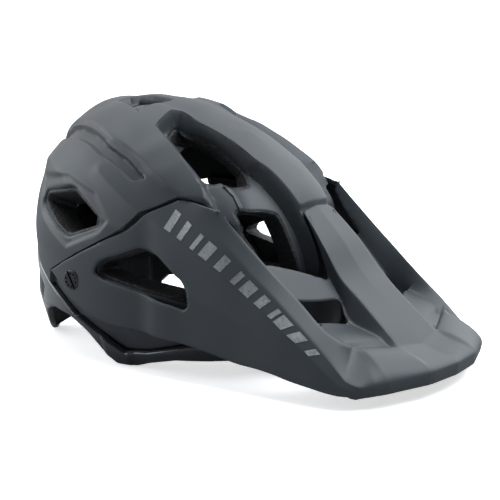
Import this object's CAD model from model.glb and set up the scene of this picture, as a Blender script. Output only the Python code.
import math

import bmesh
import bpy
import numpy as np
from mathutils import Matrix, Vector
from mathutils.geometry import delaunay_2d_cdt
from mathutils.kdtree import KDTree


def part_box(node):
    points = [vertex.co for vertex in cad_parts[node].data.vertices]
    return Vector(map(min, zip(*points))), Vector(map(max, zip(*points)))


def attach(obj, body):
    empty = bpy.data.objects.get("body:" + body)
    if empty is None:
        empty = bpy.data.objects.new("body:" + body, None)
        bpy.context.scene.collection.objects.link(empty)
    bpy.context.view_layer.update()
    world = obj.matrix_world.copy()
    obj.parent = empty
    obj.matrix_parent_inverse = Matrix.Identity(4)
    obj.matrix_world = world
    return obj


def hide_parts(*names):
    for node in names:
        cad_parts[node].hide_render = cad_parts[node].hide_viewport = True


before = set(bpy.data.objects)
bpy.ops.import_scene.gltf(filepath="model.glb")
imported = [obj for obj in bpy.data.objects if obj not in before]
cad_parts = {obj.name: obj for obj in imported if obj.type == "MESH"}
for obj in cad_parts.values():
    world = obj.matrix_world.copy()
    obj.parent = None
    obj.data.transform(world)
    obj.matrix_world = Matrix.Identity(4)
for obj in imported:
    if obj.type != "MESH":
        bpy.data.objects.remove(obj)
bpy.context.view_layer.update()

MM = 0.001


def box_mm(node):
    """A CAD node's lowest and highest corners, in millimetres."""
    low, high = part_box(node)
    return np.array(low) / MM, np.array(high) / MM


# ------------------------------------------------------------------ the head form, in millimetres
HALF_WIDTH = box_mm("outer_shell")[1][0]
HALF_LENGTH = HALF_WIDTH * 138 / 102
HALF_HEIGHT = HALF_WIDTH * 111 / 102
PITCH = math.radians(24)
FORM_Y = 49.0
FORM_Z = 74.0
CREASE_Z = 32.0
SKIRT_Z = -12.0
TUCK = 17.0
TUCK_ENDS = 9.0
CENTRE = np.array([0.0, FORM_Y, FORM_Z])
DOMAIN = 100.0                      # width of one radian in the flat drawing of the shell
CAVITY = (22.0, 31.0, 25.0)         # foam thickness at the sides, ends and crown


def unit(vectors):
    return vectors / np.linalg.norm(vectors, axis=-1, keepdims=True)


def form_radius(rays, side=0.0, ends=0.0, crown=0.0, tuck=1.0):
    """Distance from the form's centre to its surface along unit rays."""
    a, b, h = HALF_WIDTH - side, HALF_LENGTH - ends, HALF_HEIGHT - crown
    along = rays[:, 1] * math.cos(PITCH) + rays[:, 2] * math.sin(PITCH)
    up = -rays[:, 1] * math.sin(PITCH) + rays[:, 2] * math.cos(PITCH)
    dome = 1 / np.sqrt((rays[:, 0] / a) ** 2 + (along / b) ** 2 + (up / h) ** 2)
    plan = b * h / math.hypot(b * math.sin(PITCH), h * math.cos(PITCH))
    wall = 1 / np.sqrt((rays[:, 0] / a) ** 2 + (rays[:, 1] / plan) ** 2 + 1e-9)
    radius = np.where(rays[:, 2] >= 0, dome, wall)
    drop = CREASE_Z - FORM_Z
    for _ in range(12):
        depth = np.clip((drop - rays[:, 2] * radius) / (CREASE_Z - SKIRT_Z), 0, 1.6)
        tucked = 1 / np.sqrt((rays[:, 0] / (a - TUCK * tuck * depth)) ** 2
                             + (rays[:, 1] / (plan - TUCK_ENDS * tuck * depth)) ** 2 + 1e-9)
        radius = np.where(rays[:, 2] >= 0, dome, 0.5 * radius + 0.5 * tucked)
    return radius


def rays_of(flat):
    """Rays for points of the flat drawing, which is polar about the upright."""
    angle = np.linalg.norm(flat, axis=1) / DOMAIN
    turn = np.arctan2(flat[:, 0], flat[:, 1])
    return np.stack([np.sin(angle) * np.sin(turn), np.sin(angle) * np.cos(turn), np.cos(angle)], axis=1)


def flat_of(points):
    """Place in the flat drawing of points in space, by their direction from the centre."""
    rays = unit(np.asarray(points, float) - CENTRE)
    angle = np.arccos(np.clip(rays[:, 2], -1, 1))
    turn = np.arctan2(rays[:, 0], rays[:, 1])
    return np.stack([np.sin(turn), np.cos(turn)], axis=1) * (angle * DOMAIN)[:, None]


def between(points, step=5.0):
    """The same open run of points with more of them along its straights."""
    out = [points[0]]
    for a, b in zip(points[:-1], points[1:]):
        a, b = np.array(a, float), np.array(b, float)
        parts = max(int(np.linalg.norm(b - a) / step), 1)
        out += [tuple(a + (b - a) * (i + 1) / parts) for i in range(parts)]
    return out


def on_top(points):
    """Points of an outline given in plan (x, y), lifted to the form."""
    lifted = []
    for x, y in points:
        dy = y - FORM_Y
        s, c = math.sin(PITCH), math.cos(PITCH)
        b2, h2 = HALF_LENGTH ** 2, HALF_HEIGHT ** 2
        qa = s * s / b2 + c * c / h2
        qb = 2 * dy * c * s * (1 / b2 - 1 / h2)
        qc = dy * dy * (c * c / b2 + s * s / h2) + (x / HALF_WIDTH) ** 2 - 1
        z = (-qb + math.sqrt(max(qb * qb - 4 * qa * qc, 0))) / (2 * qa)
        lifted.append((x, y, FORM_Z + z))
    return lifted


def on_side(points):
    """Points of an outline given from the side (y, z), pushed out to the form."""
    pushed = []
    for y, z in points:
        low, high = 0.0, HALF_WIDTH
        for _ in range(30):
            x = (low + high) / 2
            ray = np.array([[x, y - FORM_Y, z - FORM_Z]])
            inside = np.linalg.norm(ray) < form_radius(unit(ray))[0]
            low, high = (x, high) if inside else (low, x)
        pushed.append((low, y, z))
    return pushed


# ------------------------------------------------------------------ flat drawings to skins
def resample(points, step, closed=True):
    points = np.asarray(points, float)
    if closed:
        points = np.vstack([points, points[:1]])
    run = np.concatenate([[0], np.cumsum(np.linalg.norm(np.diff(points, axis=0), axis=1))])
    count = max(int(round(run[-1] / step)), 3)
    places = np.linspace(0, run[-1], count + 1)
    out = np.stack([np.interp(places, run, points[:, i]) for i in range(points.shape[1])], axis=1)
    return out[:-1] if closed else out


def rounded(points, radius, segments=5):
    """A closed outline with its corners rounded by up to radius."""
    points = np.asarray(points, float)
    out = []
    for i, corner in enumerate(points):
        before, after = points[i - 1], points[(i + 1) % len(points)]
        to_before, to_after = before - corner, after - corner
        reach = min(radius, 0.45 * np.linalg.norm(to_before), 0.45 * np.linalg.norm(to_after))
        start = corner + to_before / np.linalg.norm(to_before) * reach
        end = corner + to_after / np.linalg.norm(to_after) * reach
        for k in range(segments + 1):
            t = k / segments
            out.append((1 - t) ** 2 * start + 2 * t * (1 - t) * corner + t * t * end)
    return np.array(out)


def inside(points, loop):
    """Which points lie inside a closed outline."""
    x, y = points[:, 0], points[:, 1]
    hit = np.zeros(len(points), bool)
    for (x1, y1), (x2, y2) in zip(loop, np.roll(loop, -1, axis=0)):
        crosses = (y1 > y) != (y2 > y)
        with np.errstate(divide="ignore", invalid="ignore"):
            at = (x2 - x1) * (y - y1) / (y2 - y1 + 1e-12) + x1
        hit ^= crosses & (x < at)
    return hit


def distance(points, line, closed=True):
    """Shortest distance in space from points to a line of points."""
    starts = line if closed else line[:-1]
    ends = np.roll(line, -1, axis=0) if closed else line[1:]
    best = np.full(len(points), 1e9)
    for a, b in zip(starts, ends):
        ab = b - a
        t = np.clip(((points - a) @ ab) / max(ab @ ab, 1e-12), 0, 1)
        best = np.minimum(best, np.linalg.norm(points - a - t[:, None] * ab, axis=1))
    return best


def smooth(x):
    x = np.clip(x, 0, 1)
    return x * x * (3 - 2 * x)


def bevel(x, round_part=0.2):
    """A straight ramp from 0 to 1 with short rounded ends."""
    t = np.clip(x, 0, 1)
    low = t ** 2 / (2 * round_part)
    high = (1 - round_part) - (1 - t) ** 2 / (2 * round_part)
    straight = np.where(t > 1 - round_part, high, t - round_part / 2)
    return np.where(t < round_part, low, straight) / (1 - round_part)


def turned_edge(away, radius):
    """How far a surface drops near an edge rounded by radius."""
    inner = np.clip(radius - away, 0, radius)
    return radius - np.sqrt(np.maximum(radius ** 2 - inner ** 2, 0))


class Drawing:
    """A flat drawing of one half of a skin: its outline, holes and raised or sunk areas."""

    def __init__(self, place, outline, edge=(1.2, 1.0), step=4.0, fine=2.0):
        self.place = place
        self.loops = [(resample(outline, fine), *edge)]
        self.areas = []
        self.ridges = []
        self.guides = []
        self.step = step
        self.fine = fine

    def hole(self, outline, radius=2.0, flange=2.0):
        self.loops.append((resample(outline, self.fine), radius, flange))

    def area(self, outline, height, wall):
        """An area raised by height, or sunk if it is negative, with walls of that width."""
        self.areas.append((resample(outline, self.fine), height, wall))

    def guide(self, line, offsets=(-2.4, -1.2, 0, 1.2, 2.4)):
        """A line that the mesh follows, such as a crease."""
        self.guides.append((resample(line, self.fine, closed=False), offsets))

    def ridge(self, line, height, width):
        """A crease along a line: the surface rises to it from both sides."""
        self.ridges.append((resample(line, self.fine, closed=False), height, width))
        self.guide(line)

    def scale(self, flat, direction):
        tiny = 0.05
        return np.linalg.norm(self.place(flat + direction * tiny) - self.place(flat), axis=1) / tiny

    def normals(self, flat):
        tiny = 0.05
        du = self.place(flat + [tiny, 0]) - self.place(flat - [tiny, 0])
        dv = self.place(flat + [0, tiny]) - self.place(flat - [0, tiny])
        return unit(np.cross(du, dv))

    def keep(self, flat):
        ok = inside(flat, self.loops[0][0])
        for loop, _, _ in self.loops[1:]:
            ok &= ~inside(flat, loop)
        return ok

    def points(self):
        """Edge loops, rings beside every edge and area wall, and an even fill."""
        fixed = [loop for loop, _, _ in self.loops]
        rings = []
        jobs = [(loop, [0.2 * r, 0.5 * r, r, r + 1.6]) for loop, r, _ in self.loops]
        jobs += [(loop, [0, 0.33 * w, 0.66 * w, w, w + 1.6, -1.2]) for loop, _, w in self.areas]
        for loop, offsets in jobs:
            along = unit(np.roll(loop, -1, axis=0) - np.roll(loop, 1, axis=0))
            across = np.stack([-along[:, 1], along[:, 0]], axis=1)
            scale = self.scale(loop, across)[:, None]
            for away in offsets:
                for sign in (-1, 1):
                    rings.append(loop + across * sign * away / scale)
        for line, offsets in self.guides:
            along = unit(np.gradient(line, axis=0))
            across = np.stack([-along[:, 1], along[:, 0]], axis=1)
            scale = self.scale(line, across)[:, None]
            rings += [line + across * away / scale for away in offsets]
        ring = np.vstack(rings)
        ring = ring[self.keep(ring)]
        low, high = self.loops[0][0].min(axis=0), self.loops[0][0].max(axis=0)
        rows = np.arange(low[1], high[1], self.step * 0.87)
        fill = []
        for i, v in enumerate(rows):
            us = np.arange(low[0] + (i % 2) * self.step / 2, high[0], self.step)
            fill.append(np.stack([us, np.full(len(us), v)], axis=1))
        fill = np.vstack(fill)
        fill = fill[self.keep(fill)]
        edge = np.vstack(fixed)
        kept = []
        tree = KDTree(len(edge) + len(ring) + len(fill))
        taken = 0
        for p in edge:
            tree.insert((p[0], p[1], 0), taken)
            taken += 1
        tree.balance()
        near_edge = 0.22
        free = [p for p in ring if tree.find((p[0], p[1], 0))[2] > near_edge]
        cells = {}
        for p in free:
            key = (int(math.floor(p[0] / 0.6)), int(math.floor(p[1] / 0.6)))
            if key not in cells:
                cells[key] = p
        kept = list(cells.values())
        tree = KDTree(len(edge) + len(kept))
        for i, p in enumerate(list(edge) + kept):
            tree.insert((p[0], p[1], 0), i)
        tree.balance()
        kept += [p for p in fill if tree.find((p[0], p[1], 0))[2] > self.step * 0.55]
        return np.array(kept)

    def heights(self, flat, space):
        total = np.zeros(len(flat))
        for loop, height, wall in self.areas:
            away = distance(space, self.place(loop))
            total += np.where(inside(flat, loop), bevel(away / wall), 0) * height
        for line, height, width in self.ridges:
            away = distance(space, self.place(line), closed=False)
            total += height * np.clip(1 - away / width, 0, 1) ** 1.3
        return total

    def drops(self, space, middle):
        """Drop of the surface near its edges; the middle line is not an edge."""
        total = np.zeros(len(space))
        for loop, radius, _ in self.loops:
            line = self.place(loop)
            if middle:
                on_middle = np.abs(line[:, 0]) < 1e-3
                segments = [(line[i], line[(i + 1) % len(line)]) for i in range(len(line))
                            if not (on_middle[i] and on_middle[(i + 1) % len(line)])]
                away = np.full(len(space), 1e9)
                for a, b in segments:
                    away = np.minimum(away, distance(space, np.array([a, b]), closed=False))
            else:
                away = distance(space, line)
            if radius > 0:
                total = np.maximum(total, turned_edge(away, radius))
        return total


def object_of(name, mesh):
    """Turn a finished bmesh into an object of the scene."""
    data = bpy.data.meshes.new(name)
    mesh.to_mesh(data)
    mesh.free()
    piece = bpy.data.objects.new(name, data)
    bpy.context.scene.collection.objects.link(piece)
    return piece


def build_skin(name, drawing, inner=None, mirrored=True, flange=True, push=None):
    """Make a half skin from its drawing, turn its edges in, close it and mirror it.

    With inner, a second placing function gives the inside face; without it the skin is thin
    and gets its wall from a Solidify modifier."""
    loops = [loop for loop, _, _ in drawing.loops]
    extra = drawing.points()
    points = np.vstack(loops + [extra])
    edges = []
    start = 0
    for loop in loops:
        edges += [(start + i, start + (i + 1) % len(loop)) for i in range(len(loop))]
        start += len(loop)
    result = delaunay_2d_cdt([Vector(p) for p in points], edges, [], 0, 1e-4)
    flat = np.array([tuple(v) for v in result[0]])
    faces = [f for f in result[2]]
    middles = np.array([flat[list(f)].mean(axis=0) for f in faces])
    faces = [f for f, ok in zip(faces, drawing.keep(middles)) if ok]
    space = drawing.place(flat)
    normal = drawing.normals(flat)
    if normal[np.argmax(space[:, 2])][2] < 0:
        normal = -normal
    lift = drawing.heights(flat, space) - drawing.drops(space, mirrored)
    if push is not None:
        lift = lift + push(flat, space)
    outside = space + normal * lift[:, None]
    mesh = bmesh.new()
    verts = [mesh.verts.new(p * MM) for p in outside]
    normals = {v: Vector(n) for v, n in zip(verts, normal)}
    used = set()
    for f in faces:
        try:
            mesh.faces.new([verts[i] for i in f])
            used.update(f)
        except ValueError:
            pass
    bmesh.ops.recalc_face_normals(mesh, faces=mesh.faces)
    top = max(mesh.faces, key=lambda f: f.calc_center_median().z)
    if top.normal.z < 0:
        bmesh.ops.reverse_faces(mesh, faces=mesh.faces)
    if inner is not None:
        back = {}
        inner_space = inner(flat)
        drop = drawing.drops(inner_space, mirrored) if flange else np.zeros(len(flat))
        inward = unit(CENTRE - inner_space)
        for i in used:
            p = inner_space[i] - inward[i] * drop[i]
            back[verts[i]] = mesh.verts.new(p * MM)
        outer_faces = list(mesh.faces)
        rim = [e for e in mesh.edges if len(e.link_faces) == 1]
        rim_faces = {e: e.link_faces[0] for e in rim}
        for face in outer_faces:
            mesh.faces.new([back[v] for v in reversed(face.verts)])
        for e in rim:
            a, b = e.verts
            if mirrored and abs(a.co.x) < 1e-6 and abs(b.co.x) < 1e-6:
                continue
            order = [v for v in rim_faces[e].verts]
            i = order.index(a)
            if order[(i + 1) % len(order)] is b:
                a, b = b, a
            mesh.faces.new([a, b, back[b], back[a]])
    elif flange:
        key = {}
        for loop, _, depth in drawing.loops:
            if depth > 0:
                for p in loop:
                    key[(round(p[0], 3), round(p[1], 3))] = depth
        depth_of = {}
        for i, v in enumerate(verts):
            depth_of[v] = key.get((round(flat[i][0], 3), round(flat[i][1], 3)), 0)
        rim = [e for e in mesh.edges if len(e.link_faces) == 1]
        rim = [e for e in rim if not (mirrored and all(abs(v.co.x) < 1e-6 for v in e.verts))]
        made = bmesh.ops.extrude_edge_only(mesh, edges=rim)
        new = [g for g in made["geom"] if isinstance(g, bmesh.types.BMVert)]
        tree = KDTree(len(verts))
        for i, v in enumerate(verts):
            tree.insert(v.co, i)
        tree.balance()
        for v in new:
            i = tree.find(v.co)[1]
            v.co -= normals[verts[i]] * depth_of[verts[i]] * MM
    loose = [v for v in mesh.verts if not v.link_faces]
    bmesh.ops.delete(mesh, geom=loose, context="VERTS")
    if mirrored:
        for v in mesh.verts:
            if abs(v.co.x) < 2e-5:
                v.co.x = 0
        bmesh.ops.mirror(mesh, geom=mesh.verts[:] + mesh.edges[:] + mesh.faces[:], axis="X",
                         merge_dist=1e-6)
        bmesh.ops.remove_doubles(mesh, verts=mesh.verts, dist=1e-6)
    bmesh.ops.recalc_face_normals(mesh, faces=mesh.faces)
    if inner is None:
        top = max(mesh.faces, key=lambda f: f.calc_center_median().z)
        if top.normal.z < 0:
            bmesh.ops.reverse_faces(mesh, faces=mesh.faces)
    return object_of(name, mesh)


def choose(piece):
    bpy.ops.object.select_all(action="DESELECT")
    piece.select_set(True)
    bpy.context.view_layer.objects.active = piece


def add_wall(piece, thickness):
    """Give a thin skin its wall, inwards from the visible face."""
    choose(piece)
    wall = piece.modifiers.new("wall", "SOLIDIFY")
    wall.thickness = thickness * MM
    wall.offset = -1
    wall.use_even_offset = False
    wall.use_quality_normals = True
    bpy.ops.object.modifier_apply(modifier="wall")


def soften(piece, angle=42):
    choose(piece)
    bpy.ops.object.shade_smooth_by_angle(angle=math.radians(angle))


def finish_piece(piece, material, body, slot, *replaced):
    piece.data.materials.clear()
    piece.data.materials.append(material)
    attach(piece, body)
    if replaced:
        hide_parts(*replaced)


# ------------------------------------------------------------------ finishes
def new_group(name, inputs, outputs):
    group = bpy.data.node_groups.new(name, "ShaderNodeTree")
    for label, kind, value in inputs:
        socket = group.interface.new_socket(name=label, in_out="INPUT", socket_type=kind)
        socket.default_value = value
    for label, kind in outputs:
        group.interface.new_socket(name=label, in_out="OUTPUT", socket_type=kind)
    return group, group.nodes.new("NodeGroupInput"), group.nodes.new("NodeGroupOutput")


def put(group, value, socket):
    """Give a socket a number, or link another node's output to it."""
    if isinstance(value, (int, float)):
        socket.default_value = value
    else:
        group.links.new(value, socket)


def maths(group, operation, *values):
    node = group.nodes.new("ShaderNodeMath")
    node.operation = operation
    for i, value in enumerate(values):
        put(group, value, node.inputs[i])
    return node.outputs[0]


def texture(group, kind, place, **settings):
    node = group.nodes.new(kind)
    group.links.new(place, node.inputs["Vector"])
    for label, value in settings.items():
        put(group, value, node.inputs[label])
    return node


def toned(group, given, out, amount, base):
    """The group's colour, made lighter or darker by amount round a base value."""
    tone = maths(group, "MULTIPLY_ADD", amount, given.outputs["Colour spread"], base)
    shade = group.nodes.new("ShaderNodeHueSaturation")
    group.links.new(given.outputs["Colour"], shade.inputs["Color"])
    group.links.new(tone, shade.inputs["Value"])
    group.links.new(shade.outputs["Color"], out.inputs["Colour"])


def satin_group():
    """Fine moulded texture: a tiny grain, slow cloudiness and a bump height."""
    group, given, out = new_group(
        "moulded_grain",
        [("Colour", "NodeSocketColor", (0.1, 0.1, 0.1, 1)), ("Grain scale", "NodeSocketFloat", 2600.0),
         ("Colour spread", "NodeSocketFloat", 0.08), ("Roughness", "NodeSocketFloat", 0.5),
         ("Roughness spread", "NodeSocketFloat", 0.06)],
        [("Colour", "NodeSocketColor"), ("Roughness", "NodeSocketFloat"), ("Height", "NodeSocketFloat")])
    place = group.nodes.new("ShaderNodeTexCoord").outputs["Object"]
    grain = texture(group, "ShaderNodeTexNoise", place, Scale=given.outputs["Grain scale"], Detail=2.0)
    cloud = texture(group, "ShaderNodeTexNoise", place, Scale=14.0, Detail=3.0)
    both = maths(group, "MULTIPLY_ADD", cloud.outputs["Fac"], 0.6, grain.outputs["Fac"])
    centred = maths(group, "SUBTRACT", both, 0.8)
    toned(group, given, out, centred, 1.0)
    rough = maths(group, "MULTIPLY_ADD", centred, given.outputs["Roughness spread"],
                  given.outputs["Roughness"])
    group.links.new(rough, out.inputs["Roughness"])
    group.links.new(grain.outputs["Fac"], out.inputs["Height"])
    return group


def bead_group():
    """Fused foam beads: cells of slightly different tone with sunken joins."""
    group, given, out = new_group(
        "foam_beads",
        [("Colour", "NodeSocketColor", (0.02, 0.02, 0.02, 1)), ("Bead scale", "NodeSocketFloat", 420.0),
         ("Colour spread", "NodeSocketFloat", 0.5)],
        [("Colour", "NodeSocketColor"), ("Height", "NodeSocketFloat")])
    place = group.nodes.new("ShaderNodeTexCoord").outputs["Object"]
    cells = texture(group, "ShaderNodeTexVoronoi", place, Scale=given.outputs["Bead scale"])
    split = group.nodes.new("ShaderNodeSeparateColor")
    group.links.new(cells.outputs["Color"], split.inputs["Color"])
    toned(group, given, out, split.outputs["Red"], 0.75)
    rise = maths(group, "SUBTRACT", 1.0, cells.outputs["Distance"])
    group.links.new(rise, out.inputs["Height"])
    return group


def weave_group():
    """Woven yarns: two crossed wave patterns that cover one another in turn."""
    group, given, out = new_group(
        "woven_yarns",
        [("Colour", "NodeSocketColor", (0.03, 0.03, 0.03, 1)), ("Yarns", "NodeSocketFloat", 1200.0),
         ("Colour spread", "NodeSocketFloat", 0.5)],
        [("Colour", "NodeSocketColor"), ("Height", "NodeSocketFloat")])
    place = group.nodes.new("ShaderNodeTexCoord").outputs["Object"]
    waves = []
    for direction in ("Y", "Z"):
        wave = texture(group, "ShaderNodeTexWave", place, Scale=given.outputs["Yarns"],
                       Distortion=0.6, Detail=1.0)
        wave.bands_direction = direction
        waves.append(wave.outputs["Fac"])
    cross = maths(group, "MULTIPLY", *waves)
    toned(group, given, out, cross, 0.8)
    group.links.new(cross, out.inputs["Height"])
    return group


SATIN = satin_group()
BEADS = bead_group()
WEAVE = weave_group()


def finish_of(name, group, colour, roughness=None, bump=0.1, bump_distance=0.0002, coat=0.0,
              coat_roughness=0.1, metallic=0.0, specular=0.5, sheen=0.0, **settings):
    material = bpy.data.materials.new(name)
    material.use_nodes = True
    nodes, links = material.node_tree.nodes, material.node_tree.links
    shader = nodes["Principled BSDF"]
    pattern = nodes.new("ShaderNodeGroup")
    pattern.node_tree = group
    pattern.inputs["Colour"].default_value = (*colour, 1)
    for label, value in settings.items():
        pattern.inputs[label.replace("_", " ").capitalize()].default_value = value
    links.new(pattern.outputs["Colour"], shader.inputs["Base Color"])
    if "Roughness" in pattern.outputs:
        pattern.inputs["Roughness"].default_value = roughness
        links.new(pattern.outputs["Roughness"], shader.inputs["Roughness"])
    else:
        shader.inputs["Roughness"].default_value = roughness
    shader.inputs["Metallic"].default_value = metallic
    shader.inputs["Specular IOR Level"].default_value = specular
    shader.inputs["Coat Weight"].default_value = coat
    shader.inputs["Coat Roughness"].default_value = coat_roughness
    if sheen:
        shader.inputs["Sheen Weight"].default_value = sheen
        shader.inputs["Sheen Roughness"].default_value = 0.5
    raised = nodes.new("ShaderNodeBump")
    raised.inputs["Strength"].default_value = bump
    raised.inputs["Distance"].default_value = bump_distance
    links.new(pattern.outputs["Height"], raised.inputs["Height"])
    links.new(raised.outputs["Normal"], shader.inputs["Normal"])
    return material


matte_shell, matte_visor = [
    finish_of(label, SATIN, (0.032, 0.037, 0.043), 0.5, bump=0.16,
              grain_scale=2600.0, colour_spread=0.1, roughness_spread=0.06)
    for label in ("matte_shell", "matte_visor")]
gloss_shell = finish_of("gloss_shell", SATIN, (0.022, 0.024, 0.027), 0.2, bump=0.02, coat=0.7,
                        coat_roughness=0.06, grain_scale=900.0, colour_spread=0.06, roughness_spread=0.05)
foam_finish = finish_of("foam_beads", BEADS, (0.010, 0.010, 0.0105), 0.62, bump=0.8,
                        bump_distance=0.0007, bead_scale=420.0, colour_spread=0.8)
black_nylon = finish_of("black_nylon", SATIN, (0.014, 0.014, 0.015), 0.42, bump=0.2,
                        grain_scale=1800.0, colour_spread=0.1, roughness_spread=0.1)
screw_black = finish_of("screw_black", SATIN, (0.009, 0.009, 0.010), 0.3, bump=0.1,
                        grain_scale=1500.0, colour_spread=0.1, roughness_spread=0.1)
brass = finish_of("brass", SATIN, (0.62, 0.45, 0.18), 0.32, bump=0.1, metallic=1.0,
                  grain_scale=1500.0, colour_spread=0.1, roughness_spread=0.1)
spring_steel = finish_of("spring_steel", SATIN, (0.5, 0.5, 0.51), 0.3, bump=0.1, metallic=1.0,
                         grain_scale=1500.0, colour_spread=0.1, roughness_spread=0.1)
acetal = finish_of("acetal", SATIN, (0.03, 0.031, 0.034), 0.36, bump=0.08,
                   grain_scale=1300.0, colour_spread=0.08, roughness_spread=0.06)
grip_rubber = finish_of("grip_rubber", SATIN, (0.02, 0.02, 0.021), 0.7, bump=0.3,
                        grain_scale=1500.0, colour_spread=0.15, roughness_spread=0.08)
pad_knit = finish_of("pad_knit", WEAVE, (0.026, 0.027, 0.030), 0.9, bump=0.6, bump_distance=0.0004,
                     sheen=0.4, yarns=900.0, colour_spread=0.8)
hook_tape = finish_of("hook_tape", WEAVE, (0.02, 0.02, 0.02), 0.9, bump=0.8, bump_distance=0.0005,
                      yarns=700.0, colour_spread=0.8)
webbing = finish_of("webbing", WEAVE, (0.016, 0.016, 0.017), 0.78, bump=0.7, bump_distance=0.0004,
                    sheen=0.25, yarns=1400.0, colour_spread=0.9)
thread_grey = finish_of("thread_grey", WEAVE, (0.05, 0.05, 0.052), 0.8, bump=0.4,
                        yarns=2200.0, colour_spread=0.6)
net_grey = finish_of("net_grey", SATIN, (0.16, 0.165, 0.17), 0.45, bump=0.1, grain_scale=1800.0,
                     colour_spread=0.2, roughness_spread=0.1)
silver = finish_of("silver_ink", SATIN, (0.42, 0.43, 0.435), 0.4, bump=0.5, metallic=0.85,
                   grain_scale=700.0, colour_spread=0.9, roughness_spread=0.5)

# ------------------------------------------------------------------ the carried-over parts
PLAIN = {
    "eps_liner": foam_finish, "insect_mesh": black_nylon, "height_post": black_nylon,
    "outer_shell": matte_shell, "lower_shell": gloss_shell, "visor": matte_visor,
    "pad_discs": hook_tape, "buckle_male": acetal, "buckle_female": acetal, "chin_pad": pad_knit,
    "brow_pad": pad_knit, "crown_pad_centre": pad_knit, "cradle_yoke": black_nylon,
    "dial_housing": black_nylon, "cradle_pad": pad_knit, "dial_pinion": acetal,
    "dial_knob": black_nylon, "dial_grip": grip_rubber, "click_spring": spring_steel,
}
PAIRED = {
    "visor_screw": screw_black, "screw_insert": brass, "temple_guide": black_nylon,
    "crown_pad": pad_knit, "side_pad": pad_knit, "strap_front": webbing, "strap_rear": webbing,
    "strap_lower": webbing, "strap_divider": acetal, "strap_anchor_front": black_nylon,
    "strap_anchor_rear": black_nylon, "fit_band": black_nylon,
}
for part, material in PAIRED.items():
    PLAIN[f"{part}_left"] = PLAIN[f"{part}_right"] = material
for node, material in PLAIN.items():
    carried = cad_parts[node]
    carried.data.materials.clear()
    carried.data.materials.append(material)

# ------------------------------------------------------------------ outlines the skins share
GLOSS_LINE = [(-100, 28), (-60, 26), (-14, 22), (20, 13), (40, 11), (67, 25), (99, 43), (131, 58),
              (160, 70), (200, 78)]
RIM_LINE = [(-100, 16), (-40, 11), (-2, 9), (20, 4), (32, 0), (50, 0), (60, 5), (74, 21), (92, 32),
            (112, 34), (132, 26), (146, 8), (156, 0), (200, 0)]
SIDE_VENT = [(61, 70), (55, 78), (19, 92), (5, 88), (-20, 71), (-24, 61), (-23, 52), (10, 58), (55, 66)]
REAR_SIDE_VENT = [(135, 119), (92, 128), (74, 119), (57, 109), (58, 103), (92, 91), (104, 94), (137, 110)]


# ------------------------------------------------------------------ the visor's own surface
# Lengthwise lines of the visor at each row, front to back: middle, rib edge, rib foot, rail foot,
# rail edge, upper crease, lower crease, side and lower edge, each as (x, y, z).
VISOR_ROWS = [
    (-193, [(0, -183.5, 10), (28, -181, 10), (33, -180, 10), (66, -167.5, 9.5), (74, -162, 9),
            (80, -156.5, 8.2), (83, -153, 7.4), (85, -150, 6.6), (86, -148, 6)]),
    (-185, [(0, -185, 18.5), (28, -182.5, 18), (33, -181.5, 17.7), (66, -169, 16.5), (74, -163.5, 16),
            (81, -157.5, 14.4), (84.5, -153.5, 12), (87, -149.5, 9.8), (88, -147, 8)]),
    (-152, [(0, -157, 28.5), (26, -152, 32), (29, -151.5, 31.7), (60, -139.5, 36.3), (64, -138, 37.2),
            (85.3, -146, 20.4), (88.5, -143, 17), (90.5, -140, 13.5), (91.5, -137.5, 10.5)]),
    (-149, [(0, -154, 31), (25.9, -150, 33.6), (30, -149, 30.6), (60, -137, 34.6), (66.5, -137, 38.6),
            (85.2, -143, 23), (88.8, -140, 19), (91, -137, 15), (92, -134.5, 11)]),
    (-138, [(0, -143, 40), (25.5, -142, 40.5), (30, -138, 36.8), (62, -131, 39.3), (71.5, -133, 42),
            (85, -133, 32), (90, -130, 26.5), (93, -127, 20.5), (94, -124, 13)]),
    (-120, [(0, -120, 59.5), (24.5, -120, 59), (31, -117, 44), (66, -112, 45.6), (74, -119, 51.5),
            (84.7, -117, 45.5), (91, -114, 38), (94, -111, 28), (95, -109, 15)]),
    (-104, [(0, -105, 74), (25.5, -104, 73), (27, -105, 58.5), (66, -98, 50), (73.5, -102, 65.7),
            (84.5, -101, 58.2), (92, -98, 48.5), (95, -96, 36), (96, -94, 18)]),
    (-88, [(0, -88, 95.5), (23, -88, 93), (24, -92.5, 74), (65, -79, 64.5), (74.5, -88, 77),
           (84.5, -88, 68.3), (92, -86, 57), (95.5, -84, 41), (96.5, -82, 19.5)]),
    (-70, [(0, -70, 113.5), (18.5, -70, 112), (21, -76, 96), (67, -61, 84), (75.4, -72, 90),
           (84.5, -71, 80.5), (92, -70, 66.5), (96, -69, 48), (97, -67, 20.5)]),
    (-48, [(0, -48, 133), (17, -48, 131), (21, -52, 118), (69, -42, 100), (76, -50, 109),
           (84.5, -48, 98), (92.5, -47, 81), (97.5, -46, 56), (98.8, -45, 24.5)]),
    (-24, [(0, -25, 152), (18, -25, 150), (22, -26, 140), (70, -22, 118), (76, -29, 127.5),
           (83.5, -23, 113.5), (92.8, -22, 94), (99, -22, 64), (100.3, -22, 28)]),
    (0, [(0, 0, 172), (18, 0, 170), (24, 0, 160), (62, 0, 140), (69, -4, 144),
         (80, 0, 127.5), (92.6, 0, 104.5), (101.2, 0, 70), (102.2, 0, 29.5)]),
]
ARM_ROWS = [(24, (185, 184, 180, 160, 150, 133, 114, 74, 31.5)),
            (40, (186, 185, 180, 158, 148, 130, 108, 70, 32)),
            (60, (186, 184, 180, 150, 140, 120, 98, 64, 34.5)),
            (90, (184, 183, 170, 130, 120, 98, 84, 65, 47)),
            (130, (176, 174, 160, 120, 110, 92, 80, 70, 66))]
ACROSS = np.array([0, 20, 32, 66, 78, 92, 112, 140, 176.0])


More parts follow.
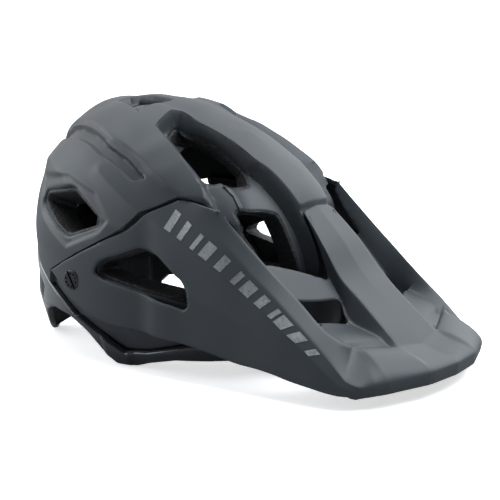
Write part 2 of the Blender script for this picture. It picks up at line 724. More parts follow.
def form_x(y, z):
    """How wide the form is at each (y, z)."""
    low, high = np.zeros(len(y)), np.full(len(y), HALF_WIDTH + 8.0)
    for _ in range(26):
        x = (low + high) / 2
        ray = np.stack([x, y - FORM_Y, z - FORM_Z], axis=1)
        fits = np.linalg.norm(ray, axis=1) < form_radius(unit(ray), tuck=0.0)
        low, high = np.where(fits, x, low), np.where(fits, high, x)
    return (low + high) / 2


def eased_table(rows):
    """Smooth interpolation between the rows of a small table, with no overshoot."""
    keys = np.array([r[0] for r in rows], float)
    table = np.array([np.ravel(r[1]) for r in rows], float)
    step = np.diff(keys)[:, None]
    slope = np.diff(table, axis=0) / step
    total = slope[1:] + slope[:-1]
    same = slope[1:] * slope[:-1] > 0
    bend = np.vstack([slope[:1], np.where(same, 2 * slope[1:] * slope[:-1] / np.where(same, total, 1), 0),
                      slope[-1:]])

    def read(key):
        i = np.clip(np.searchsorted(keys, key) - 1, 0, len(keys) - 2)
        h = step[i]
        t = np.clip((key - keys[i])[:, None] / h, -0.3, 1.3)
        return ((2 * t ** 3 - 3 * t ** 2 + 1) * table[i] + (t ** 3 - 2 * t ** 2 + t) * h * bend[i]
                + (-2 * t ** 3 + 3 * t ** 2) * table[i + 1] + (t ** 3 - t ** 2) * h * bend[i + 1])
    return read


def arm_row(y, heights):
    heights = np.array(heights, float)
    ys = np.full(len(heights), float(y))
    return y, np.stack([form_x(ys, heights), ys, heights], axis=1)


visor_rows_at = eased_table(VISOR_ROWS + [arm_row(y, heights) for y, heights in ARM_ROWS])


def visor_point(u, v):
    """The visor's outer surface: u runs from the middle to the lower edge, v from front to back."""
    side = np.sign(u + 1e-12)
    u = np.abs(u)
    lines = visor_rows_at(v).reshape(len(v), 9, 3)
    k = np.clip(np.searchsorted(ACROSS, u, side="right") - 1, 0, 7)
    t = ((u - ACROSS[k]) / (ACROSS[k + 1] - ACROSS[k]))[:, None]
    rows = np.arange(len(u))
    point = lines[rows, k] * (1 - t) + lines[rows, k + 1] * t
    # The bridge across each bay is flat.
    flat_z = 73.7 - 0.576 * (point[:, 0] - 22.3) + 1.025 * (point[:, 1] + 92.8)
    on_bridge = smooth((u - 29) / 3) * smooth((70 - u) / 4) * smooth((v + 113) / 5) * (v < -50)
    point[:, 2] = point[:, 2] * (1 - on_bridge) + flat_z * on_bridge
    on_arm = smooth((v - 4) / 22) * smooth((u - 78) / 14)
    outward = form_x(point[:, 1], point[:, 2])
    point[:, 0] = side * (point[:, 0] * (1 - on_arm) + outward * on_arm)
    return point


def visor_map(flat):
    """The visor's surface with its creases eased over a few millimetres."""
    offsets = (-1.0, -0.5, 0.0, 0.5, 1.0)
    total = sum(visor_point(flat[:, 0] + offset, flat[:, 1]) for offset in offsets) / len(offsets)
    total[np.abs(flat[:, 0]) < 1e-6, 0] = 0
    return total


def visor_side_flat(points):
    """Flat place of points of the visor's side, given as (y, z)."""
    us, vs = np.meshgrid(np.linspace(78, 176, 197), np.linspace(-160, 130, 291))
    grid = np.stack([us.ravel(), vs.ravel()], axis=1)
    space = visor_map(grid)
    return [tuple(grid[np.argmin((space[:, 1] - y) ** 2 + (space[:, 2] - z) ** 2)]) for y, z in points]

# ------------------------------------------------------------------ the skins
# How far the real head form stands off the plain one, at points on it: (x, y, z), millimetres.
SWELL = [
    ((0, 47, 188), -6.5), ((0, 64, 190), -4.5), ((0, 92, 188), -3.0), ((45, 70, 178), -2.0),
    ((40, 98, 175), -1.5), ((0, 12, 179), -9.0),
    ((0, -20, 162), -6.0), ((0, -44, 143), -3.5), ((0, -61, 123), -0.5), ((0, 134, 174), 2.0),
    ((0, 172, 135), -5.0), ((0, 182, 108), -4.0), ((20, 5, 173), -8.2), ((23, -11, 165), -7.0),
    ((24, -24, 156), -6.0), ((19, -45, 139), -2.6), ((18, -58, 124), -0.5), ((50, 43, 171), -3.0),
    ((60, 20, 158), -0.6), ((65, 1, 145), 1.2), ((67, -14, 132), 4.2), ((69, -21, 123), 6.5),
    ((80, 5, 130), 1.5), ((82, -12, 108), 1.0), ((92, 23, 114), 0.0), ((98, 20, 90), 0.0),
    ((102, 50, 74), 0.0), ((95, 70, 110), 0.0), ((70, 75, 152), 0.0), ((50, 125, 155), 0.0),
    ((80, 120, 118), 0.0), ((90, 110, 70), 0.0), ((60, 160, 80), 0.0), ((60, 160, 110), -1.0),
    ((0, 183, 70), 0.0), ((95, 0, 50), 0.0), ((80, -40, 40), 0.0), ((50, -60, 60), 0.0),
    ((0, -85, 60), 0.0), ((30, 150, 160), 0.0), ((86, 60, 135), 0.0), ((75, -40, 80), 2.0),
]
SWELL_RAYS = unit(np.array([point for point, _ in SWELL], float) - CENTRE)
SWELL_MM = np.array([amount for _, amount in SWELL])


def swell(rays):
    """Weighted mean of the nearby swell values."""
    apart = np.arccos(np.clip(rays @ SWELL_RAYS.T, -1, 1))
    weight = np.exp(-(apart / 0.14) ** 2) + 1e-5
    return (weight @ SWELL_MM) / weight.sum(axis=1)


def skin_map(depth=0.0):
    """The head form with its swell, depth millimetres in from the outside."""
    def place(flat):
        rays = rays_of(flat)
        return CENTRE + rays * (form_radius(rays, depth, depth, depth) + swell(rays))[:, None]
    return place


outer_place = skin_map()


def level_line(line, place, turns, low=55.0, high=150.0):
    """Where a surface meets a height given as a line of (y, z), at each turn about the upright."""
    ys, zs = zip(*line)
    a, b = np.full(len(turns), low), np.full(len(turns), high)
    for _ in range(36):
        angle = (a + b) / 2
        flat = np.stack([np.sin(turns), np.cos(turns)], axis=1) * (np.radians(angle) * DOMAIN)[:, None]
        points = place(flat)
        above = points[:, 2] > np.interp(points[:, 1], ys, zs)
        a, b = np.where(above, angle, a), np.where(above, b, angle)
    return flat


def half_disc(line, place, count=140):
    """Closed half outline: along a level line from front to rear, and back over the middle."""
    edge = level_line(line, place, np.linspace(math.pi, 0, count))
    edge[0, 0] = edge[-1, 0] = 0
    middle = np.linspace(edge[-1, 1], edge[0, 1], 100)[1:-1]
    return np.vstack([edge, np.stack([np.zeros(98), middle], axis=1)])


def top_flat(points):
    return flat_of(on_top(between(points)))


def side_flat(points):
    return flat_of(on_side(between(points)))


# Places in plan (x, y) or from the side (y, z), on the left half.
UNDER_VISOR = np.vstack([side_flat([(118, 50), (116, 62), (36, 103), (24, 116), (10, 122), (0, 127)]),
                         top_flat([(77, -4), (70, -24), (66, -34), (63, -50), (50, -78)]),
                         [[100, -330], [330, -330], [330, 100]]])
UNDER_RIB = np.vstack([top_flat([(17, -80), (17, -66)]), [[-60, -128], [-60, -330], [60, -330]]])
PLATEAU = np.vstack([top_flat([(20, -64), (22, -45), (25, -31), (62, -12), (70, -22), (78, -6), (80, 10),
                               (78.5, 26), (69, 70), (41, 126), (27, 150), (20, 164)]),
                     [[-60, 145], [-60, -124]]])
GROOVE = top_flat([(84, 34), (80.5, 26), (70, 70), (42, 126), (28, 150), (22, 163), (33, 160), (53, 127),
                   (76, 76), (84.5, 40)])
TROUGH = top_flat([(24, 40), (29, 45), (50, 44), (60, 20), (65, 1), (68, -15), (70, -26), (68, -45),
                   (56, -70), (30, -100), (15, -100), (17, -72), (19, -62), (22, -31), (23, 4)])
CROWN_VENT = top_flat([(28, 36), (32, 40), (46, 38), (57, 15), (63, -8), (60, -16), (35, -36),
                       (27, -28), (26, 4)])
BROW_VENT = top_flat([(29, -58), (60, -35), (62, -46), (50, -70), (27, -86)])
MESH_RECESS = top_flat([(5, 60), (15, 60), (43, 67), (20, 107), (5, 106)])
MESH_HOLE = top_flat([(8, 66), (16, 66), (35, 71), (20, 95), (8, 95)])
SIDE_HOLE = side_flat(rounded(SIDE_VENT, 4, 3))
REAR_SIDE_HOLE = side_flat(rounded(REAR_SIDE_VENT, 4, 3))
REAR_SHOULDER = side_flat([(150, 130), (100, 136), (66, 127), (46, 107), (56, 97), (92, 82), (134, 101)])
NAPE_SLOT = flat_of([(18, 172, 128), (34, 163, 128), (44, 158, 116), (38, 166, 100), (20, 175, 98)])

SIDE_RIDGE = side_flat([(36, 103), (60, 110), (86, 122), (112, 134), (136, 140), (152, 138)])
TEMPLE_RIDGE = side_flat([(24, 116), (44, 127), (70, 141)])
SHELL_WALL, VISOR_WALL = 1.4, 2.6
CREASE_ANGLE = 50                   # degrees; sharper edges than this stay crisp

# Each vent: outline, edge radius and flange on the shell, how far the foam laps over it.
VENTS = [(SIDE_HOLE, 1.6, 3.0, 2.0), (REAR_SIDE_HOLE, 2.2, 4.5, 2.4),
         (rounded(CROWN_VENT, 8), 1.4, 4.0, 1.6), (rounded(BROW_VENT, 10), 1.4, 4.0, 1.8),
         (rounded(MESH_HOLE, 5), 0.8, 2.0, 1.0), (rounded(NAPE_SLOT, 8), 1.6, 4.0, 1.5)]
# Each raised or sunken area: outline, height on the shell, height on the foam, width of its wall.
AREAS = [(UNDER_VISOR, -4.0, -4.0, 0.9), (UNDER_RIB, -3.0, -3.0, 0.9),
         (rounded(PLATEAU, 6), 2.4, None, 3.5), (rounded(GROOVE, 5), -3.6, -2.8, 2.6),
         (TROUGH, -11.0, -9.6, 5.0), (rounded(MESH_RECESS, 8), -6.0, -4.4, 5.0),
         (rounded(REAR_SHOULDER, 14), -1.6, -1.6, 4.0)]

outline = half_disc(GLOSS_LINE, outer_place)
shell_drawing = Drawing(outer_place, outline, edge=(1.0, 1.6), step=3.6, fine=2.2)
for opening, lip, turn_in, _ in VENTS:
    shell_drawing.hole(opening, lip, turn_in)
for area, height, _, wall in AREAS:
    shell_drawing.area(area, height, wall)
shell_drawing.ridge(SIDE_RIDGE, 2.0, 15)
shell_drawing.ridge(TEMPLE_RIDGE, 1.2, 9)
outer_skin = build_skin("outer_shell_skin", shell_drawing)
add_wall(outer_skin, SHELL_WALL)
soften(outer_skin, CREASE_ANGLE)
finish_piece(outer_skin, matte_shell, "helmet", "matte_shell", "outer_shell")

# The lower shell: a gloss band from the matte edge down to the rim.
def rear_flat(x, z):
    """Flat place on the back of the form at a given width and height."""
    low, high = 60.0, 230.0
    for _ in range(30):
        y = (low + high) / 2
        ray = np.array([[x, y - FORM_Y, z - FORM_Z]])
        fits = np.linalg.norm(ray) < form_radius(unit(ray))[0]
        low, high = (y, high) if fits else (low, y)
    return flat_of([(x, low, z)])[0]


NOTCH_X, NOTCH_Z = 32.0, 58.0
rim = level_line(RIM_LINE, outer_place, np.linspace(math.pi, 0, 160))
rim[0, 0] = 0
rim_width = outer_place(rim)[:, 0]
before_notch = [p for p, x, y in zip(rim, rim_width, outer_place(rim)[:, 1]) if x > NOTCH_X + 1 or y < 60]
notch = [rear_flat(NOTCH_X, 4), rear_flat(NOTCH_X, 30), rear_flat(NOTCH_X, NOTCH_Z - 6),
         rear_flat(NOTCH_X - 6, NOTCH_Z), rear_flat(NOTCH_X / 2, NOTCH_Z)]
notch_top = rear_flat(0.01, NOTCH_Z)
notch_top[0] = 0

gloss_top = level_line([(y, z - 0.7) for y, z in GLOSS_LINE], outer_place, np.linspace(0, math.pi, 140))
gloss_top[0, 0] = gloss_top[-1, 0] = 0
front_climb = np.linspace(gloss_top[-1], rim[0], 6)[1:-1]
rear_climb = np.linspace(notch_top, gloss_top[0], 5)[1:-1]
lower_outline = np.vstack([before_notch, notch, [notch_top], rear_climb, gloss_top, front_climb])
lower_drawing = Drawing(outer_place, lower_outline, edge=(1.4, 3.0), step=3.4, fine=2.0)
TEMPLE_FACET = side_flat([(62, 20), (50, 22), (30, 14), (34, -4), (50, -6), (62, 4)])
REAR_FLUTE = side_flat([(166, 60), (150, 58), (128, 46), (136, 30), (150, 22), (160, 30)])
lower_drawing.area(rounded(TEMPLE_FACET, 5), 1.6, 6.0)
lower_drawing.area(rounded(REAR_FLUTE, 6), -2.2, 5.0)
lower_skin = build_skin("lower_shell_skin", lower_drawing)
add_wall(lower_skin, SHELL_WALL)
soften(lower_skin, CREASE_ANGLE)
finish_piece(lower_skin, gloss_shell, "helmet", "gloss_shell", "lower_shell")


# The foam: it fills the shells and lines every vent.
def grown(points, amount):
    """A closed flat outline moved outwards, or inwards if amount is negative."""
    points = resample(points, 2.0)
    along = unit(np.roll(points, -1, axis=0) - np.roll(points, 1, axis=0))
    across = np.stack([along[:, 1], -along[:, 0]], axis=1)
    turning = np.sum(points[:, 0] * np.roll(points[:, 1], -1) - points[:, 1] * np.roll(points[:, 0], -1))
    return points + across * (amount if turning > 0 else -amount)


foam_place = skin_map(1.9)


def cavity_place(flat):
    rays = rays_of(flat)
    depth = np.minimum(form_radius(rays, *CAVITY, tuck=0.0),
                       np.linalg.norm(foam_place(flat) - CENTRE, axis=1) - 9)
    return CENTRE + rays * depth[:, None]


foam_rim = level_line([(y, z + 0.8) for y, z in RIM_LINE], outer_place, np.linspace(math.pi, 0, 160))
foam_rim[0, 0] = 0
foam_points = outer_place(foam_rim)
foam_edge = [p for p, q in zip(foam_rim, foam_points) if q[0] > NOTCH_X + 2 or q[1] < 60]
middle_line = np.linspace(notch_top, foam_rim[0], 100)[1:-1]
foam_outline = np.vstack([foam_edge, notch, [notch_top], middle_line])
foam_drawing = Drawing(foam_place, foam_outline, edge=(1.2, 0), step=4.2, fine=2.4)
for opening, _, _, overlap in VENTS:
    foam_drawing.hole(grown(opening, -overlap), 1.2, 0)
for area, _, height, wall in AREAS:
    if height is not None:
        foam_drawing.area(area, height, wall)
foam_skin = build_skin("foam_liner", foam_drawing, inner=cavity_place)
soften(foam_skin, CREASE_ANGLE)
finish_piece(foam_skin, foam_finish, "helmet", "foam", "eps_liner")

# The visor, drawn in its own flat grid.
VISOR_SEAM = [(91, 48), (104, 55.5), (116.5, 61.6), (107, 66), (71, 84.2), (31, 103.5), (19.5, 115.0),
              (9, 120.8), (-2, 126.2)]
seam_side = visor_side_flat(between(VISOR_SEAM, 8))
visor_outline = np.array([(0, -193), (60, -193), (112, -193), (134, -190), (154, -181), (168, -166),
                          (176, -146), (176, -100), (176, -50), (176, 0), (176, 40), (176, 66),
                          (176, 88)] + seam_side
                         + [(80, -29), (72, -34), (69, -48), (68, -66), (58, -70), (33, -90), (31, -84),
                            (24, -71), (17, -66), (0, -65)])
visor_drawing = Drawing(visor_map, visor_outline, edge=(1.0, 0), step=3.2, fine=2.0)
FRONT_HOLE = rounded([(33, -103), (62, -91), (67, -94), (66, -107), (58, -113), (34, -121)], 4)
visor_drawing.hole(FRONT_HOLE, 0.6, 0)
visor_drawing.hole(visor_side_flat(between(list(rounded(SIDE_VENT, 4, 3)))), 1.6, 0)
for u in ACROSS[1:-1]:
    visor_drawing.guide([(u, -193), (u, 20 if u < 100 else 60)])
for v in (-185, -152, -138):
    visor_drawing.guide([(0, v), (176, v)])
visor_skin = build_skin("visor_skin", visor_drawing, flange=False)
add_wall(visor_skin, VISOR_WALL)
soften(visor_skin, CREASE_ANGLE)
finish_piece(visor_skin, matte_visor, "visor", "matte_visor", "visor")

# ------------------------------------------------------------------ pads, sewn and filled
def copy_of(name, node):
    """A merged copy of a CAD node's mesh."""
    piece = bpy.data.objects.new(name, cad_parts[node].data.copy())
    bpy.context.scene.collection.objects.link(piece)
    choose(piece)
    bpy.ops.object.mode_set(mode="EDIT")
    bpy.ops.mesh.select_all(action="SELECT")
    bpy.ops.mesh.remove_doubles(threshold=1e-5)
    bpy.ops.mesh.normals_make_consistent(inside=False)
    bpy.ops.object.mode_set(mode="OBJECT")
    return piece


def apply(piece, label, kind, **settings):
    choose(piece)
    modifier = piece.modifiers.new(label, kind)
    for key, value in settings.items():
        setattr(modifier, key, value)
    bpy.ops.object.modifier_apply(modifier=label)


def coordinates(piece):
    out = np.empty(len(piece.data.vertices) * 3)
    piece.data.vertices.foreach_get("co", out)
    return out.reshape(-1, 3)


def place_all(piece, points):
    piece.data.vertices.foreach_set("co", np.asarray(points, float).ravel())
    piece.data.update()


def sewn_pad(name, node, body, centre=CENTRE, rim=2.6, voxel=1.4, cap=0.6):
    """A thin pad: flat welded rim, a sewn line inside it and a filled middle."""
    piece = copy_of(name, node)
    apply(piece, "even", "REMESH", mode="VOXEL", voxel_size=voxel * MM)
    apply(piece, "ease", "SMOOTH", factor=0.5, iterations=2)
    points = coordinates(piece) / MM
    away = points - centre
    reach = np.linalg.norm(away, axis=1)
    out = away / reach[:, None]
    normals = np.array([v.normal[:] for v in piece.data.vertices])
    side = np.abs((normals * out).sum(axis=1)) < 0.6
    edge = KDTree(int(side.sum()))
    for i, p in enumerate(points[side]):
        edge.insert(p, i)
    edge.balance()
    depth = np.array([edge.find(p)[2] for p in points])
    face = KDTree(len(points))
    for i, p in enumerate(unit(away)):
        face.insert(p, i)
    face.balance()
    middle = np.empty(len(points))
    for i, p in enumerate(unit(away)):
        near = [j for _, j, _ in face.find_range(p, 2.2 / reach[i])]
        middle[i] = (reach[near].min() + reach[near].max()) / 2
    crown = np.clip(0.30 + 0.62 * smooth((depth - rim * 0.6) / (rim * 1.6)), 0, 0.92)
    crown -= 0.16 * np.exp(-((depth - rim) / 0.7) ** 2)
    reach = middle + (reach - middle) * crown
    points = centre + out * reach[:, None]
    place_all(piece, points * MM)
    start = coordinates(piece)
    choose(piece)
    swell_up = piece.modifiers.new("swell", "CLOTH")
    swell_up.settings.quality = 4
    swell_up.settings.use_pressure = True
    swell_up.settings.uniform_pressure_force = 4
    swell_up.settings.effector_weights.gravity = 0
    swell_up.point_cache.frame_start = 1
    swell_up.point_cache.frame_end = 20
    for moment in range(1, 21):
        bpy.context.scene.frame_set(moment)
    bpy.ops.object.modifier_apply(modifier="swell")
    bpy.context.scene.frame_set(1)
    move = coordinates(piece) - start
    length = np.linalg.norm(move, axis=1, keepdims=True)
    move *= np.minimum(1, cap * MM / np.maximum(length, 1e-9))
    place_all(piece, start + move)
    apply(piece, "fine", "SUBSURF", levels=1, render_levels=1)
    choose(piece)
    bpy.ops.object.shade_smooth()
    finish_piece(piece, pad_knit, body, "pad_fabric", node)
    return piece


BAND_CENTRE = np.array([0, 66.0, 38.0])
sewn_pad("brow_pad_knit", "brow_pad", "helmet")
sewn_pad("crown_pad_centre_knit", "crown_pad_centre", "helmet", rim=2.2)
for side_name in ("left", "right"):
    sewn_pad(f"crown_pad_{side_name}_knit", f"crown_pad_{side_name}", "helmet", rim=2.2)
    sewn_pad(f"side_pad_{side_name}_knit", f"side_pad_{side_name}", "helmet")
sewn_pad("cradle_pad_knit", "cradle_pad", "cradle", BAND_CENTRE, rim=2.2)
sewn_pad("chin_pad_knit", "chin_pad", "helmet", rim=1.4, voxel=0.9, cap=0.3)

# ------------------------------------------------------------------ straps, laid on the foam wall
WEBBING = 15.0
CAVITY_LENGTH, CAVITY_HEIGHT = HALF_LENGTH - CAVITY[1], HALF_HEIGHT - CAVITY[2]
PLAN = CAVITY_LENGTH * CAVITY_HEIGHT / math.hypot(CAVITY_LENGTH * math.sin(PITCH),
                                                  CAVITY_HEIGHT * math.cos(PITCH))


def on_wall(y, z, depth, side):
    """A point on the foam cavity's upright wall, depth inwards from it."""
    a = HALF_WIDTH - CAVITY[0] - depth
    run = (y - FORM_Y) / (PLAN - depth)
    return Vector((side * a * math.sqrt(max(1 - run * run, 0)), y, z)) * MM


def strap(name, centre_line, depth, side, full=1.6, width=WEBBING):
    """Flat webbing, full thick, along a line of (y, z), with thicker selvedges."""
    if len(centre_line) > 2:
        centre_line = rounded(centre_line, 9, 8)
    path = resample(centre_line, 1.6, closed=False)
    ahead = np.gradient(path, axis=0)
    ahead /= np.linalg.norm(ahead, axis=1, keepdims=True)
    half = width / 2
    section = [(-half, 0.3 * full), (-half + 0.25, 0.06), (-half + 1.3, 0.0), (-half + 2.0, 0.15),
               (0, 0.15), (half - 2.0, 0.15), (half - 1.3, 0.0), (half - 0.25, 0.06),
               (half, 0.3 * full), (half, 0.7 * full), (half - 0.25, 0.96 * full), (half - 1.3, full),
               (half - 2.0, full - 0.15), (0, full - 0.15), (-half + 2.0, full - 0.15),
               (-half + 1.3, full), (-half + 0.25, 0.96 * full), (-half, 0.7 * full)]
    mesh = bmesh.new()
    rings = []
    for (y, z), (ty, tz) in zip(path, ahead):
        rings.append([mesh.verts.new(on_wall(y - tz * w, z + ty * w, depth + d, side))
                      for w, d in section])
    count = len(section)
    for one, two in zip(rings[:-1], rings[1:]):
        for i in range(count):
            mesh.faces.new([one[i], one[(i + 1) % count], two[(i + 1) % count], two[i]])
    mesh.faces.new(rings[0][::-1])
    mesh.faces.new(rings[-1])
    bmesh.ops.recalc_face_normals(mesh, faces=mesh.faces)
    piece = object_of(name, mesh)
    soften(piece, CREASE_ANGLE)
    return piece


def stitching(name, lines, depth, side, stitch=2.2):
    """Rows of thread stitches that stand on the webbing."""
    mesh = bmesh.new()
    for line in lines:
        path = resample(line, stitch * 1.45, closed=False)
        for a, b in zip(path[:-1], path[1:]):
            run = b - a
            a, b = a + run * 0.12, b - run * 0.12
            across = np.array([-run[1], run[0]]) / np.linalg.norm(run) * 0.33
            m = (a + b) / 2
            spots = [(a, 0.0), (m + across, 0.0), (b, 0.0), (m - across, 0.0), (m, 0.38), (m, -0.2)]
            v = [mesh.verts.new(on_wall(p[0], p[1], depth + d, side)) for p, d in spots]
            for i in range(4):
                mesh.faces.new([v[i], v[(i + 1) % 4], v[4]])
                mesh.faces.new([v[(i + 1) % 4], v[i], v[5]])
    bmesh.ops.recalc_face_normals(mesh, faces=mesh.faces)
    return object_of(name, mesh)


def box_stitch(y, z, w, h):
    """The box and cross that holds a strap's end."""
    corners = [(y, z), (y + w, z), (y + w, z + h), (y, z + h), (y, z)]
    return [corners, [corners[0], corners[2]], [corners[1], corners[3]]]


STRAPS = (("front", [(-16, 41.5), (41, 41.5), (59, 66), (61, 70)], 0.3),
          ("rear", [(62.4, 66), (120, 66)], 0.3),
          ("lower", [(2.2, 41.5), (51.8, 41.5)], 2.2))
for side, side_name in ((-1, "right"), (1, "left")):
    for part, line, depth in STRAPS:
        piece = strap(f"{part}_webbing_{side_name}", line, depth, side)
        finish_piece(piece, webbing, "helmet", "webbing", f"strap_{part}_{side_name}")
    thread = stitching(f"strap_thread_{side_name}",
                       box_stitch(-13, 36.5, 10, 10) + box_stitch(106, 61, 10, 10), 1.95, side)
    finish_piece(thread, thread_grey, "helmet", "webbing")

# ------------------------------------------------------------------ insect mesh over the rear vents
def insect_screen():
    """Moulded net of six-sided holes over both rear crown vents."""
    mesh = bmesh.new()
    pitch_mm = 2.7
    row_step = pitch_mm * 0.866
    place = skin_map(5.2)
    low, high = MESH_RECESS.min(axis=0) - 1, MESH_RECESS.max(axis=0) + 1
    rows = int((high[1] - low[1]) / row_step) + 1
    columns = int((high[0] - low[0]) / pitch_mm) + 1
    for row in range(rows):
        for column in range(columns):
            middle = low + [(column + (row % 2) / 2) * pitch_mm, row * row_step]
            if not inside(middle[None], MESH_RECESS)[0]:
                continue
            turns = np.radians(30 + 60 * np.arange(6))
            ring = middle + np.stack([np.cos(turns), np.sin(turns)], axis=1) * pitch_mm / math.sqrt(3)
            mesh.faces.new([mesh.verts.new(p * MM) for p in place(ring)])
    bmesh.ops.remove_doubles(mesh, verts=mesh.verts, dist=1e-4)
    bmesh.ops.mirror(mesh, geom=mesh.verts[:] + mesh.edges[:] + mesh.faces[:], axis="X", merge_dist=1e-6)
    piece = object_of("insect_screen", mesh)
    apply(piece, "strands", "WIREFRAME", thickness=0.55 * MM, use_replace=True, use_even_offset=False)
    return piece


screen = insect_screen()
finish_piece(screen, net_grey, "helmet", "black_plastic", "insect_mesh")

# ------------------------------------------------------------------ visor screws
def skin_x(y, z):
    """Half width of the visor arm's outer face at a place on its side."""
    u, v = visor_side_flat([(y, z)])[0]
    return visor_map(np.array([[u, v]]))[0][0]


SCREW_Y, SCREW_Z = 84.0, 60.0
SCREW_R, SCREW_DEPTH, SCREW_PROUD, SCREW_EDGE = 7.4, 3.4, 1.7, 0.9
RING_R, RING_HOLE_R, RING_HOLE_DEPTH = 4.9, 0.85, 1.5
SLOT_TURN, SLOT_SIZE = math.radians(60), (3.0, 15, 1.9)
SCREW_X = skin_x(SCREW_Y, SCREW_Z)


def cylinder(radius, low, high, y=SCREW_Y, z=SCREW_Z, sides=64, side=1):
    """A cylinder across the helmet between two distances from its middle plane."""
    bpy.ops.mesh.primitive_cylinder_add(
        vertices=sides, radius=radius * MM, depth=(high - low) * MM,
        location=(side * (low + high) / 2 * MM, y * MM, z * MM), rotation=(0, math.pi / 2, 0))
    return bpy.context.object


def cut(piece, cutters):
    choose(cutters[0])
    for cutter in cutters[1:]:
        cutter.select_set(True)
    if len(cutters) > 1:
        bpy.ops.object.join()
    tool = bpy.context.object
    choose(piece)
    modifier = piece.modifiers.new("cut", "BOOLEAN")
    modifier.operation = "DIFFERENCE"
    modifier.solver = "EXACT"
    modifier.use_self = True
    modifier.object = tool
    bpy.ops.object.modifier_apply(modifier="cut")
    bpy.data.objects.remove(tool)


for side, side_name in ((-1, "right"), (1, "left")):
    bpy.ops.object.select_all(action="DESELECT")
    face = SCREW_X + SCREW_PROUD
    head = cylinder(SCREW_R, SCREW_X - SCREW_DEPTH, face, side=side)
    choose(head)
    bpy.ops.object.transform_apply(location=True, rotation=True, scale=True)
    bpy.ops.object.mode_set(mode="EDIT")
    bpy.ops.mesh.select_all(action="DESELECT")
    bpy.ops.object.mode_set(mode="OBJECT")
    for polygon in head.data.polygons:
        polygon.select = side * polygon.normal.x > 0.9
    bpy.ops.object.mode_set(mode="EDIT")
    bpy.ops.mesh.bevel(offset=SCREW_EDGE * MM, segments=3, affect="EDGES")
    bpy.ops.object.mode_set(mode="OBJECT")
    cutters = []
    for i in range(10):
        turn = math.radians(36 * i + 12)
        if abs(math.sin(turn - SLOT_TURN)) < 0.28:      # the slot passes here
            continue
        cutters.append(cylinder(RING_HOLE_R, face - RING_HOLE_DEPTH, face + 2,
                                SCREW_Y + RING_R * math.cos(turn),
                                SCREW_Z + RING_R * math.sin(turn), 16, side))
    bpy.ops.mesh.primitive_cube_add(size=1, location=(side * face * MM, SCREW_Y * MM, SCREW_Z * MM),
                                    rotation=(SLOT_TURN, 0, 0))
    slot_tool = bpy.context.object
    slot_tool.scale = [size * MM for size in SLOT_SIZE]
    cutters.append(slot_tool)
    for cutter in cutters:
        choose(cutter)
        bpy.ops.object.transform_apply(location=True, rotation=True, scale=True)
    cut(head, cutters)
    head.name = f"visor_screw_head_{side_name}"
    soften(head, 35)
    finish_piece(head, screw_black, "helmet", "screw", f"visor_screw_{side_name}")

# ------------------------------------------------------------------ generic graphic on the visor's rails
def on_visor(flat, lift):
    flat = np.asarray(flat, float)
    return visor_map(flat) + visor_drawing.normals(flat) * lift


BAR_COUNT, BAR_START, BAR_PITCH, BAR_LEAN = 12, -132, 11.2, 5.0
INK_LIFT = 0.14


def graphic():
    """Slanted silver bars that shorten towards the rear of each rail's band."""
    mesh = bmesh.new()
    columns, rows = 7, 5
    for i in range(BAR_COUNT):
        v0 = BAR_START + i * BAR_PITCH
        long = 10.0 - 0.35 * i
        low_u, high_u = 96.0 + 0.15 * i, 110.5
        grid = []
        for a in range(columns):
            u = low_u + (high_u - low_u) * a / (columns - 1)
            row = []
            for b in range(rows):
                v = (v0 + long * (0.45 + 0.5 * ((i * 7) % 3) / 2) * b / (rows - 1)
                     + BAR_LEAN * a / (columns - 1))
                row.append((u, v))
            grid.append(row)
        flat = np.array(grid).reshape(-1, 2)
        space = on_visor(flat, INK_LIFT).reshape(columns, rows, 3)
        verts = [[mesh.verts.new(space[a, b] * MM) for b in range(rows)] for a in range(columns)]
        for a in range(columns - 1):
            for b in range(rows - 1):
                mesh.faces.new([verts[a][b], verts[a + 1][b], verts[a + 1][b + 1], verts[a][b + 1]])
    bmesh.ops.recalc_face_normals(mesh, faces=mesh.faces)
    for face_ in mesh.faces:
        if face_.normal.x < 0:
            face_.normal_flip()
    bmesh.ops.mirror(mesh, geom=mesh.verts[:] + mesh.edges[:] + mesh.faces[:], axis="X", merge_dist=1e-6)
    piece = object_of("rail_graphic", mesh)
    apply(piece, "ink", "SOLIDIFY", thickness=0.1 * MM, offset=-1)
    return piece


bars = graphic()
finish_piece(bars, silver, "visor", "")

# ------------------------------------------------------------------ floor, light and camera
bpy.ops.mesh.primitive_plane_add(size=120, location=(0, 0, -0.0004))
floor = bpy.context.object
floor.name = "floor"
FLOOR_GIVEN, FLOOR_SHOWN, FLOOR_GLOW = (0.30, 0.31, 0.32, 1), (0.92, 0.92, 0.92, 1), 0.62
floor_finish = bpy.data.materials.new("floor_white")
floor_finish.use_nodes = True
floor_nodes, floor_links = floor_finish.node_tree.nodes, floor_finish.node_tree.links
floor_look = floor_nodes["Principled BSDF"].inputs
floor_look["Roughness"].default_value = 0.9
floor_look["Emission Color"].default_value = (1, 1, 1, 1)
# The floor gives less light back to the object than it shows.
seen = floor_nodes.new("ShaderNodeLightPath")
shown = floor_nodes.new("ShaderNodeMix")
shown.data_type = "RGBA"
shown.inputs["A"].default_value = FLOOR_GIVEN
shown.inputs["B"].default_value = FLOOR_SHOWN
floor_links.new(seen.outputs["Is Camera Ray"], shown.inputs["Factor"])
floor_links.new(shown.outputs["Result"], floor_look["Base Color"])
glow = floor_nodes.new("ShaderNodeMath")
glow.operation = "MULTIPLY"
glow.inputs[1].default_value = FLOOR_GLOW
floor_links.new(seen.outputs["Is Camera Ray"], glow.inputs[0])
floor_links.new(glow.outputs[0], floor_look["Emission Strength"])
floor.data.materials.append(floor_finish)


LAMP_COLOUR = (0.88, 0.95, 1.0)
MIDDLE = Vector((0, 0, 0.09))


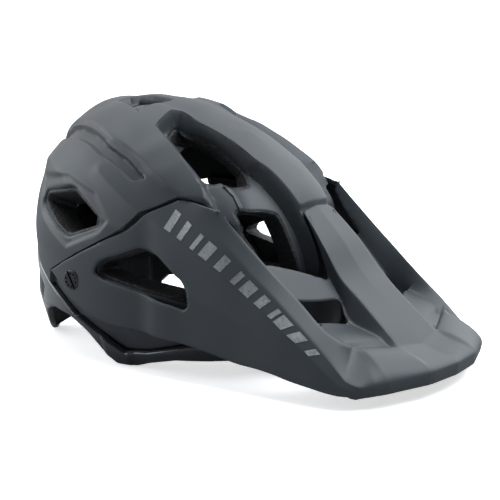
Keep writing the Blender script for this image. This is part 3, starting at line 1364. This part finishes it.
def softbox(name, place, size, power):
    """A square lamp that faces the object's middle."""
    lamp = bpy.data.lights.new(name, "AREA")
    lamp.shape = "RECTANGLE"
    lamp.size = lamp.size_y = size
    lamp.energy = power
    lamp.color = LAMP_COLOUR
    holder = bpy.data.objects.new(name, lamp)
    holder.location = place
    holder.rotation_euler = (MIDDLE - Vector(place)).to_track_quat("-Z", "Y").to_euler()
    bpy.context.scene.collection.objects.link(holder)


for label, place, size, power in (
        ("top", (0.35, -0.9, 1.9), 1.5, 50), ("over", (0.2, 0.9, 2.0), 1.6, 16),
        ("right_high", (1.8, -0.2, 1.0), 1.6, 16), ("behind", (-0.5, 2.1, 0.8), 1.3, 17),
        ("front", (-0.7, -1.9, 0.7), 0.9, 2.0), ("rear_left", (-1.7, 1.5, 0.8), 1.1, 9.0)):
    softbox(label, place, size, power)

# The room is bright behind the object and dim in front of it.
world = bpy.data.worlds.new("studio")
world.use_nodes = True
nodes, links = world.node_tree.nodes, world.node_tree.links
facing = nodes.new("ShaderNodeTexCoord")
towards = nodes.new("ShaderNodeVectorMath")
towards.operation = "DOT_PRODUCT"
towards.inputs[1].default_value = (0.64, 0.72, 0.27)
links.new(facing.outputs["Generated"], towards.inputs[0])
ramp = nodes.new("ShaderNodeValToRGB")
ramp.color_ramp.elements[0].position = 0.0
ramp.color_ramp.elements[0].color = (0.11, 0.12, 0.13, 1)
ramp.color_ramp.elements[1].position = 0.62
ramp.color_ramp.elements[1].color = (1, 1, 1, 1)
links.new(towards.outputs["Value"], ramp.inputs["Fac"])
links.new(ramp.outputs["Color"], nodes["Background"].inputs["Color"])
nodes["Background"].inputs["Strength"].default_value = 1.0
bpy.context.scene.world = world
bpy.context.scene.view_settings.view_transform = "Standard"

lens = bpy.data.cameras.new("view")
lens.sensor_width = 36
lens.lens = 108
camera = bpy.data.objects.new("view", lens)
camera.location = (-0.8918, -0.6563, 0.3113)
camera.rotation_euler = Vector((0.7905, 0.5761, -0.2079)).to_track_quat("-Z", "Y").to_euler()
bpy.context.scene.collection.objects.link(camera)
bpy.context.scene.camera = camera
